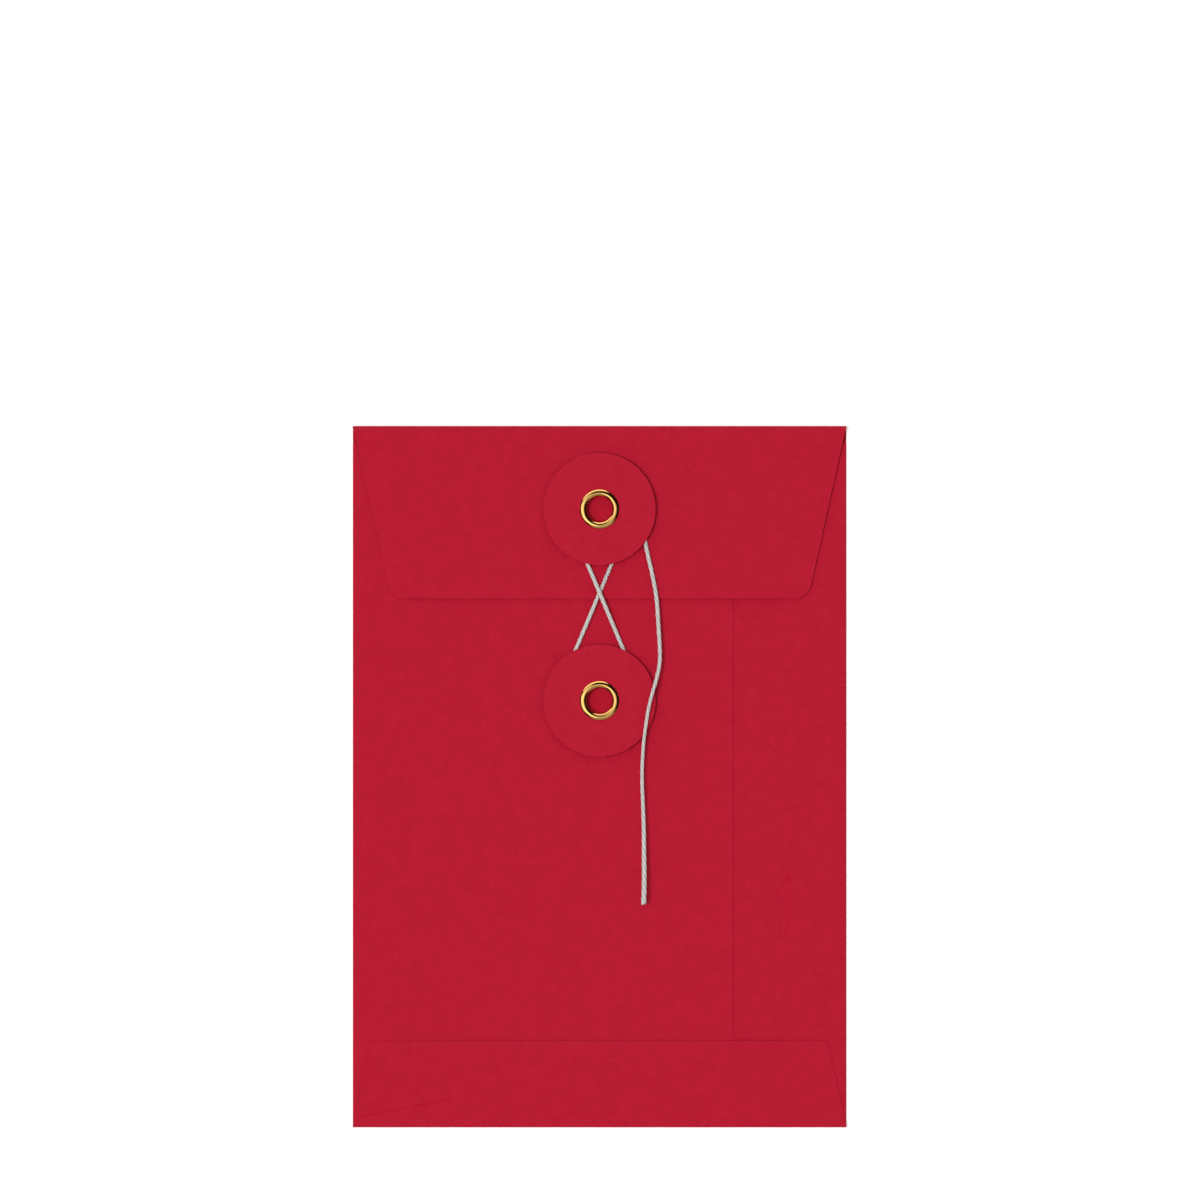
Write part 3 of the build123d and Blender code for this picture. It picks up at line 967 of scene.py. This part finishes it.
glue = dried_glue()
PLAIN_PARTS = {
    "front_panel": paper,
    "flap_spacer": card,
    "body_spacer": card,
    "side_seam_glue": glue,
    "bottom_seam_glue": glue,
}
for name, material in PLAIN_PARTS.items():
    nodes[name].data.materials.clear()
    nodes[name].data.materials.append(material)
print("plain parts:", ", ".join(PLAIN_PARTS))

# %% [markdown]
# ## Turned pieces
# Discs and eyelets are round, so each is a profile turned about its own upright axis. A profile is easy
# to read: it lists the piece's section from the inside out, as on a lathe drawing.

# %% Turn a profile
TURN_STEPS = 128


def turned(name, profile, y, material):
    """A round piece from a closed profile of (radius, height) points, turned about a button's axis."""
    points, faces = [], []
    count = len(profile)
    for k in range(TURN_STEPS):
        angle = 2 * math.pi * k / TURN_STEPS
        points += [(radius * math.cos(angle), y + radius * math.sin(angle), z) for radius, z in profile]
        after = (k + 1) % TURN_STEPS
        for i in range(count):
            j = (i + 1) % count
            faces.append((k * count + i, after * count + i, after * count + j, k * count + j))
    return settle(make_piece(name, points, faces, material))


def arc(middle, height, reach, rise, angles, steps):
    """Points of a profile's arc about a middle, so wide and so high, between two angles in degrees."""
    start, end = (math.radians(angle) for angle in angles)
    turns = [start + (end - start) * i / steps for i in range(steps + 1)]
    return [(middle + reach * math.cos(a), height + rise * math.sin(a)) for a in turns]


print("turned pieces have", TURN_STEPS, "steps")

# %% [markdown]
# ## The card discs
# Each button is a disc punched from thick card. The punch rounds the upper edge a little and leaves the
# side straight, and the eyelet presses a shallow ring into the card around itself.

# %% Discs
EDGE_ROUND = 0.12
LOWER_ROUND = EDGE_ROUND / 3
PRESSED = 0.05
PRESSED_RADIUS = 5.2
PRESSED_SIDE = 0.6
PRESSED_START = 0.3
EDGE_STEPS = 5


def card_disc(name, node, y, body):
    """A punched card disc with a rounded upper edge and the eyelet's ring pressed into it."""
    bottom, top = low_of(node).z, high_of(node).z
    profile = [
        (hole_radius, bottom),
        (DISC_RADIUS - LOWER_ROUND, bottom),
        (DISC_RADIUS, bottom + LOWER_ROUND),
        *arc(DISC_RADIUS - EDGE_ROUND, top - EDGE_ROUND, EDGE_ROUND, EDGE_ROUND, (0, 90), EDGE_STEPS),
        (PRESSED_RADIUS + PRESSED_SIDE, top),
        (PRESSED_RADIUS, top - PRESSED * PRESSED_START),
        (PRESSED_RADIUS - PRESSED_SIDE, top - PRESSED),
        (hole_radius, top - PRESSED),
    ]
    disc = turned(name, profile, y, card)
    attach(disc, body)
    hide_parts(node)


card_disc("flap_button_disc", "flap_disc", flap_button, "flap")
card_disc("body_button_disc", "body_disc", body_button, "pocket")

# %% [markdown]
# ## Polished brass
# The eyelets are drawn from thin brass strip, rolled over a punch and tumbled bright. A metal has no
# colour of its own but that of its reflections, so this is a metal with a yellow tint, low roughness
# that varies a little, and the faintest ripple from the tumbling.

# %% Brass material: stamped and tumbled bright
RIPPLE = 0.5
RIPPLE_DEPTH = 0.01
BRIGHT, DULL = 0.05, 0.12


def bright_brass():
    """Stamped, tumbled brass: clear warm reflections, slightly uneven."""
    material, tree, shader = surface(
        "tumbled_bright_brass", {"Metallic": 1.0, "Base Color": linear("#E3B366")}
    )
    place = add_node(tree, "ShaderNodeTexCoord", {}).outputs["Object"]
    ripple = add_node(
        tree, "ShaderNodeTexNoise", {"Vector": place, "Scale": 1 / (RIPPLE * MM), "Detail": 2.0}
    ).outputs["Fac"]
    roughness = add_node(
        tree,
        "ShaderNodeMapRange",
        {"Value": ripple, "From Min": 0.3, "From Max": 0.7, "To Min": BRIGHT, "To Max": DULL},
    )
    bump = add_node(
        tree, "ShaderNodeBump", {"Height": ripple, "Strength": 0.08, "Distance": RIPPLE_DEPTH * MM}
    )
    feed(tree, shader, Roughness=roughness.outputs["Result"], Normal=bump.outputs["Normal"])
    return material


brass = bright_brass()
print("brass:", brass.name)

# %% [markdown]
# ## The eyelets
# An eyelet is one thin tube. Its upper end is rolled outward over the disc in a low round, with its crest
# near the bore. Its barrel draws in a little on the way down, and its lower end is clinched in a smaller
# roll under the paper. The profile goes up the bore, over the flange, back along the inside of the metal,
# and round the clinch.

# %% Eyelets
FLANGE_ROLL = 0.76
FLANGE_RISE = 0.4
FLANGE_SHOULDER = 0.69
BARREL_TAPER = 0.2
CLINCH_ROLL = 0.5
ROLL_STEPS = 24


def roll(crest, height, inward, outward, rise, angles):
    """A rolled end over its crest, and its inner side on the way back, a wall's thickness apart."""
    start, end = angles
    top = (start + end) / 2
    outer = arc(crest, height, inward, rise, (start, top), ROLL_STEPS)[:-1]
    outer += arc(crest, height, outward, rise, (top, end), ROLL_STEPS)
    inner = arc(crest, height, outward - EYELET_WALL, rise - EYELET_WALL, (end, top), ROLL_STEPS)[:-1]
    inner += arc(crest, height, inward - EYELET_WALL, rise - EYELET_WALL, (top, start), ROLL_STEPS)
    return outer + inner


def eyelet(name, node, y, body):
    """A brass eyelet: barrel, rolled flange and clinch, as one closed profile."""
    flange_height = high_of(node).z - FLANGE_RISE
    clinch_height = low_of(node).z + CLINCH_ROLL
    bore = EYELET_BORE / 2
    slope = 2 * FLANGE_ROLL - FLANGE_SHOULDER
    flange = roll(bore + FLANGE_SHOULDER, flange_height, FLANGE_SHOULDER, slope, FLANGE_RISE, (180, 0))
    foot = bore - BARREL_TAPER + CLINCH_ROLL
    clinch = roll(foot, clinch_height, CLINCH_ROLL, CLINCH_ROLL + BARREL_TAPER, CLINCH_ROLL, (180, 360))
    profile = flange + clinch[::-1]
    made = turned(name, profile, y, brass)
    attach(made, body)
    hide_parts(node)


eyelet("flap_button_eyelet", "flap_eyelet", flap_button, "flap")
eyelet("body_button_eyelet", "body_eyelet", body_button, "pocket")

# %% [markdown]
# ## Floor and light
# The envelope lies on a white sweep, so bright that it shows pure white. One soft key from the left and
# an even light from all round shade the paper. Brass only shows what it mirrors, so it gets cards of its
# own, as on a photographer's table: a bright one on the left that reaches nearly overhead, one beyond the
# top edge, one overhead that leans to the bottom edge, a dim low one beyond that edge, and nothing at all
# on the right, which leaves the dark band round its rim.

# %% White floor


def white_sweep():
    """A matt white board, overexposed a little by light of its own."""
    material, tree, shader = surface("white_board", {"Base Color": linear("#EDEDEB"), "Roughness": 0.9})
    shader.inputs["Emission Color"].default_value = linear("#FFFFFF")
    shader.inputs["Emission Strength"].default_value = 0.3
    return material


FLOOR_HALF = 4000.0
FLOOR_DROP = 0.02
floor_corners = [(-FLOOR_HALF, -FLOOR_HALF, 0), (FLOOR_HALF, -FLOOR_HALF, 0)]
floor_corners += [(FLOOR_HALF, FLOOR_HALF, 0), (-FLOOR_HALF, FLOOR_HALF, 0)]
floor = make_piece("floor", floor_corners, [(0, 1, 2, 3)], white_sweep())
floor.location.z = -FLOOR_DROP * MM
print("floor:", 2 * FLOOR_HALF * MM, "m wide")

# %% A key light, and cards for the brass to mirror
LIGHT_DISTANCE = 3.0


def soft_light(name, azimuth, elevation, size, radiance, mirrored):
    """A soft light aimed at the envelope, for matt surfaces or only to be mirrored in metal.

    Azimuth 0 is to the right and 90 is up the envelope. The size is its width and height in metres.
    """
    lamp = bpy.data.lights.new(name, "AREA")
    lamp.shape = "RECTANGLE"
    lamp.size, lamp.size_y = size
    lamp.energy = radiance * math.pi * size[0] * size[1]
    made = add_object(name, lamp)
    a, e = math.radians(azimuth), math.radians(elevation)
    away = Vector((math.cos(a) * math.cos(e), math.sin(a) * math.cos(e), math.sin(e)))
    made.location = away * LIGHT_DISTANCE
    made.rotation_euler = away.to_track_quat("Z", "Y").to_euler()
    made.visible_glossy = mirrored
    made.visible_diffuse = not mirrored


soft_light("key", azimuth=180, elevation=74, size=(0.9, 0.9), radiance=20.4, mirrored=False)
soft_light("card_left", azimuth=188, elevation=66, size=(2.0, 2.2), radiance=1.5, mirrored=True)
soft_light("card_top", azimuth=108, elevation=30, size=(4.2, 2.8), radiance=1.7, mirrored=True)
soft_light("card_bottom", azimuth=275, elevation=80, size=(1.7, 1.6), radiance=0.7, mirrored=True)
soft_light("card_bottom_low", azimuth=282, elevation=40, size=(3.7, 2.8), radiance=0.38, mirrored=True)
print("lights:", ", ".join(lamp.name for lamp in bpy.data.lights))

# %% Even light from all round, kept out of the mirrored view
AROUND, MIRRORED, BEHIND = 0.47, 0.01, 1.0
world = bpy.data.worlds.new("studio")
bpy.context.scene.world = world
world.use_nodes = True
sky = world.node_tree
sky.nodes.clear()
around = add_node(sky, "ShaderNodeBackground", {"Strength": AROUND, "Color": linear("#FFFFFF")})
mirrored = add_node(sky, "ShaderNodeBackground", {"Strength": MIRRORED, "Color": linear("#FFFFFF")})
behind = add_node(sky, "ShaderNodeBackground", {"Strength": BEHIND, "Color": linear("#FFFFFF")})
ray = add_node(sky, "ShaderNodeLightPath", {})
matt_or_metal = add_node(
    sky,
    "ShaderNodeMixShader",
    {0: ray.outputs["Is Glossy Ray"], 1: around.outputs[0], 2: mirrored.outputs[0]},
)
or_camera = add_node(
    sky,
    "ShaderNodeMixShader",
    {0: ray.outputs["Is Camera Ray"], 1: matt_or_metal.outputs[0], 2: behind.outputs[0]},
)
add_node(sky, "ShaderNodeOutputWorld", {"Surface": or_camera.outputs[0]})
print("surrounding light:", len(sky.nodes), "nodes")
